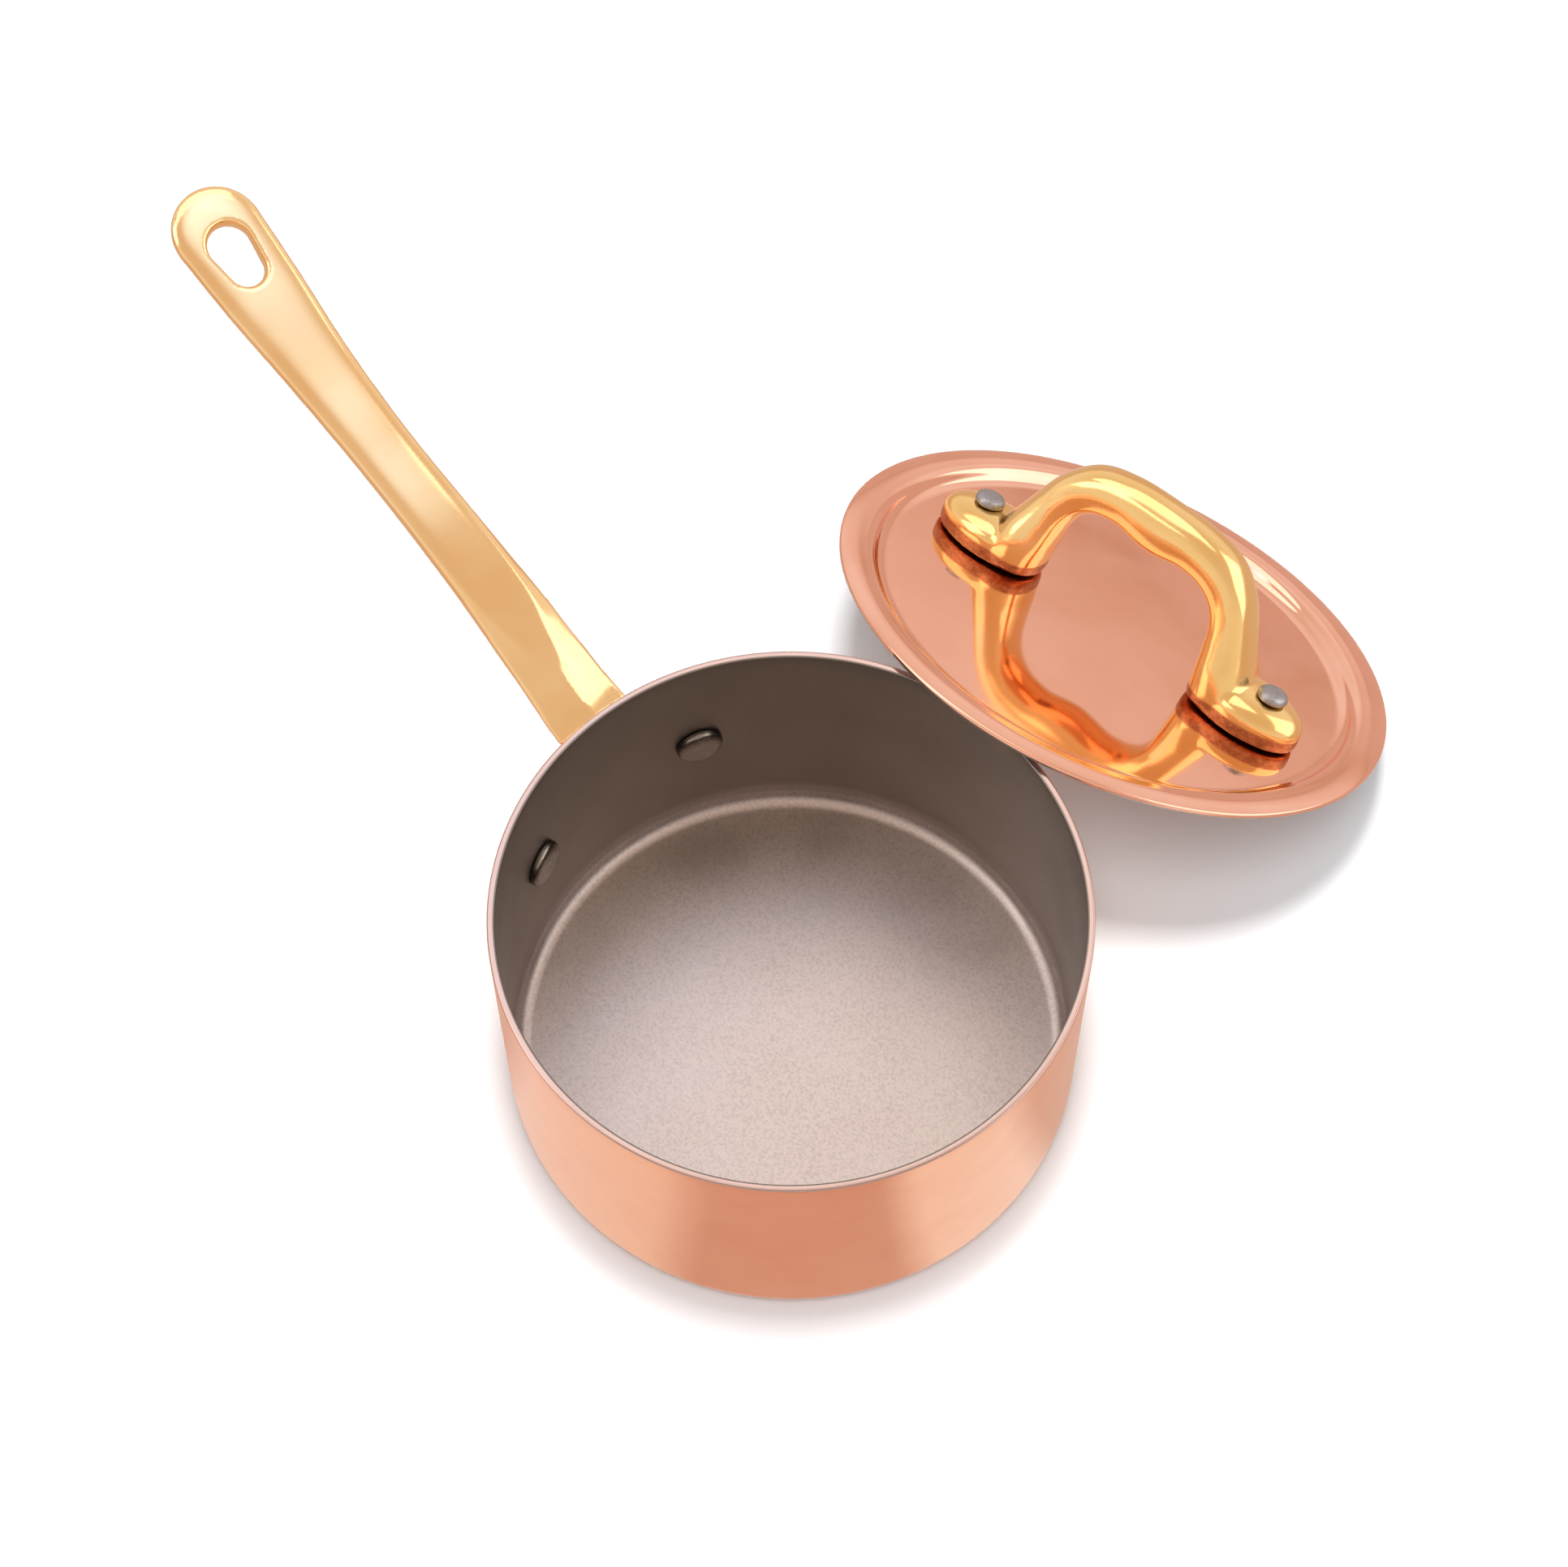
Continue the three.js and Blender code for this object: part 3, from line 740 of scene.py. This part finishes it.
def lid_place():
    """Where the lid's own frame stands: its edge on the table, its flange on the pan's rim."""
    sine, cosine = math.sin(LID_TILT), math.cos(LID_TILT)
    underside = LID_CREST - LID_SHEET
    height = LID_RADIUS * sine + LID_SHEET * cosine
    contact = (PAN_HEIGHT + REST_GAP - height - underside * cosine) / sine
    out = PAN_RADIUS + contact * cosine - underside * sine
    middle = Matrix.Translation(Vector((out, LID_SIDESTEP, height)) * MM)
    return Matrix.Rotation(LID_AZIMUTH, 4, "Z") @ middle @ Matrix.Rotation(LID_TILT, 4, "Y")


# ---- Stage ----------------------------------------------------------------------------

def view_vector(azimuth, elevation):
    """The direction towards a place round the object: azimuth 0 is on the camera's right, 90 behind."""
    turn = math.radians(azimuth) + VIEW_AZIMUTH
    lift = math.radians(elevation)
    return Vector((math.cos(turn) * math.cos(lift), math.sin(turn) * math.cos(lift), math.sin(lift)))


def square(name, half):
    """A flat square about its own centre, in metres."""
    mesh = bpy.data.meshes.new(name)
    corners = [(-half, -half, 0), (half, -half, 0), (half, half, 0), (-half, half, 0)]
    mesh.from_pydata(corners, [], [(0, 1, 2, 3)])
    made = bpy.data.objects.new(name, mesh)
    bpy.context.scene.collection.objects.link(made)
    return made


def floor():
    """The plain pale floor."""
    made = square("floor", FLOOR_HALF)
    material = bpy.data.materials.new("pale_floor")
    material.use_nodes = True
    shader = material.node_tree.nodes["Principled BSDF"]
    shader.inputs["Base Color"].default_value = (0.9, 0.9, 0.9, 1)
    shader.inputs["Roughness"].default_value = 0.9
    shader.inputs["Specular IOR Level"].default_value = 0.1
    made.data.materials.append(material)


def softbox(name, azimuth, elevation, distance, width, height, radiance, mirrored):
    """A soft panel that faces the pan: one the metal mirrors, or one that only lights the floor."""
    data = bpy.data.lights.new(name, "AREA")
    data.shape = "RECTANGLE"
    data.size = width
    data.size_y = height
    data.energy = radiance * math.pi * width * height
    lamp = bpy.data.objects.new(name, data)
    bpy.context.scene.collection.objects.link(lamp)
    towards = view_vector(azimuth, elevation)
    lamp.location = Vector((0, 0, 0.05)) + towards * distance
    lamp.rotation_mode = "QUATERNION"
    lamp.rotation_quaternion = towards.to_track_quat("Z", "Y")
    lamp.visible_glossy = mirrored
    lamp.visible_diffuse = not mirrored


def only_mirrored(card, name):
    """Makes a card seen in reflections only; returns its material's tree and the place on the card."""
    material = bpy.data.materials.new(name)
    material.use_nodes = True
    tree = material.node_tree
    tree.nodes.remove(tree.nodes["Principled BSDF"])
    card.data.materials.append(material)
    card.visible_camera = False
    card.visible_diffuse = False
    card.visible_shadow = False
    return tree, add(tree, "ShaderNodeTexCoord").outputs["Object"]


def glow_card():
    """A round reflector with a soft edge, mirrored by the end of the pan's handle."""
    made = square("glow_card", GLOW_RADIUS)
    turn = Matrix.Rotation(VIEW_AZIMUTH, 4, "Z")
    facing = Vector(GLOW_FACING).to_track_quat("Z", "Y").to_matrix().to_4x4()
    made.matrix_world = turn @ Matrix.Translation(GLOW_PLACE) @ facing
    tree, where = only_mirrored(made, "glow_card")
    reach = add(tree, "ShaderNodeVectorMath", {0: where}, operation="LENGTH").outputs["Value"]
    glow = add(tree, "ShaderNodeEmission", {"Color": GLOW_TONE, "Strength": GLOW_STRENGTH})
    clear = add(tree, "ShaderNodeBsdfTransparent")
    share = ranged(tree, reach, 0, GLOW_RADIUS, 1, 0)
    both = add(tree, "ShaderNodeMixShader", {0: share, 1: clear.outputs[0], 2: glow.outputs[0]})
    tree.links.new(both.outputs[0], tree.nodes["Material Output"].inputs["Surface"])


def surroundings():
    """A white room, a little darker and warmer where the metal mirrors it."""
    world = bpy.data.worlds.new("studio")
    world.use_nodes = True
    tree = world.node_tree
    white = tree.nodes["Background"]
    white.inputs["Color"].default_value = FILL_TONE
    white.inputs["Strength"].default_value = FILL_STRENGTH
    direction = add(tree, "ShaderNodeTexCoord").outputs["Generated"]
    height = add(tree, "ShaderNodeSeparateXYZ", {0: direction}).outputs["Z"]
    tones = toned(tree, height, ROOM_TONES)
    warm = add(tree, "ShaderNodeBackground", {"Color": tones, "Strength": 1.0})
    ray = add(tree, "ShaderNodeLightPath").outputs["Is Glossy Ray"]
    both = add(tree, "ShaderNodeMixShader", {0: ray, 1: white.outputs[0], 2: warm.outputs[0]})
    tree.links.new(both.outputs[0], tree.nodes["World Output"].inputs["Surface"])
    bpy.context.scene.world = world


def mirrored_card():
    """A toned card on the floor round the pan, seen only as a reflection in its wall."""
    around = 96
    rings = []
    for radius in (60.5, 12000):
        angles = np.linspace(0, 2 * math.pi, around, endpoint=False)
        rings.append([(radius * math.cos(a), radius * math.sin(a), 0.2) for a in angles])
    card = mesh_object("card", *skin(rings, closed=False))
    card.rotation_euler.z = VIEW_AZIMUTH
    tree, where = only_mirrored(card, "card_tones")
    parts = add(tree, "ShaderNodeSeparateXYZ", {0: where}).outputs
    angle = add(tree, "ShaderNodeMath", {0: parts["Y"], 1: parts["X"]}, operation="ARCTAN2").outputs[0]
    turn = add(tree, "ShaderNodeMapRange", {"Value": angle, "From Min": -math.pi, "From Max": math.pi})
    tones = toned(tree, turn.outputs[0], [(degrees / 360 + 0.5, tone) for degrees, tone in CARD_TONES])
    glow = add(tree, "ShaderNodeEmission", {"Color": tones, "Strength": 1.0})
    tree.links.new(glow.outputs[0], tree.nodes["Material Output"].inputs["Surface"])


def camera():
    """The camera in front of the pan and above it."""
    data = bpy.data.cameras.new("camera")
    data.lens = VIEW_LENS
    data.sensor_width = 36
    made = bpy.data.objects.new("camera", data)
    bpy.context.scene.collection.objects.link(made)
    rim = Vector((0, 0, PAN_HEIGHT * MM))
    right = Vector((math.cos(VIEW_AZIMUTH), math.sin(VIEW_AZIMUTH), 0))
    away = Vector((-math.sin(VIEW_AZIMUTH), math.cos(VIEW_AZIMUTH), 0))
    back = Vector((0, 0, 1)) * math.sin(VIEW_ELEVATION) - away * math.cos(VIEW_ELEVATION)
    place = rim + back * VIEW_DISTANCE * MM
    aim = rim + (right * VIEW_AIM[0] + away * VIEW_AIM[1]) * MM
    turn = (aim - place).to_track_quat("-Z", "Y").to_matrix().to_4x4()
    made.matrix_world = Matrix.Translation(place) @ turn @ Matrix.Rotation(VIEW_ROLL, 4, "Z")
    bpy.context.scene.camera = made


# ---- Assembly -------------------------------------------------------------------------

def dress(piece, material, body, node, place=None):
    """Keeps each point's own place for its material, puts the piece in the row frame and ties it in."""
    mesh = piece.data
    own = np.empty(len(mesh.vertices) * 3, np.float32)
    mesh.vertices.foreach_get("co", own)
    mesh.attributes.new("place", "FLOAT_VECTOR", "POINT").data.foreach_set("vector", own)
    mesh.transform(place or Matrix.Identity(4))
    mesh.materials.clear()
    mesh.materials.append(material)
    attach(piece, body)
    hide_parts(node)


def assemble():
    """Makes every piece, dresses it and ties it to its body."""
    handle_brass = brass("handle_brass", (0.97, 0.71, 0.38), (0.95, 0.66, 0.33), 0.13)
    # The top of the feet's upright sides: below it the loop's brass carries the painted reflection.
    loop_edge = LID_FLOOR + FOOT_GAP + FOOT["side"]
    loop_brass = brass("loop_brass", (0.95, 0.67, 0.3), (0.92, 0.62, 0.24), 0.14, loop_edge)
    pan_rivet_look = rivet_steel("pan_rivet_steel", (0.3, 0.27, 0.24), 0.25)
    lid_rivet_look = rivet_steel("lid_rivet_steel", (0.42, 0.42, 0.43), 0.38)
    dress(pan_body(), pan_copper(), "pan", "pan_shell")
    dress(pan_steel(), lining_steel("pan_lining_steel", False), "pan", "pan_lining")
    grip = pan_grip()
    # The handle leaves the ground white.
    grip.visible_shadow = False
    dress(grip, handle_brass, "pan", "pan_handle")
    for piece, name in zip(pan_rivets(), ("pan_rivet_left", "pan_rivet_right")):
        dress(piece, pan_rivet_look, "pan", name)

    place = lid_place()
    lid_steel_look = lining_steel("lid_lining_steel", True)
    dress(lid_body(), lid_copper(), "lid", "lid_shell", place)
    dress(lid_steel(), lid_steel_look, "lid", "lid_lining", place)
    dress(lid_grip(), loop_brass, "lid", "lid_handle", place)
    for piece, name in zip(lid_rivets(), ("lid_rivet_right", "lid_rivet_left")):
        dress(piece, lid_rivet_look, "lid", name, place)


def studio():
    """The floor, the room, the camera, the cards and the lights."""
    floor()
    surroundings()
    camera()
    bpy.context.scene.view_settings.view_transform = "Standard"
    mirrored_card()
    glow_card()
    for name, panel in PANELS.items():
        softbox(name, *panel)


studio()
assemble()
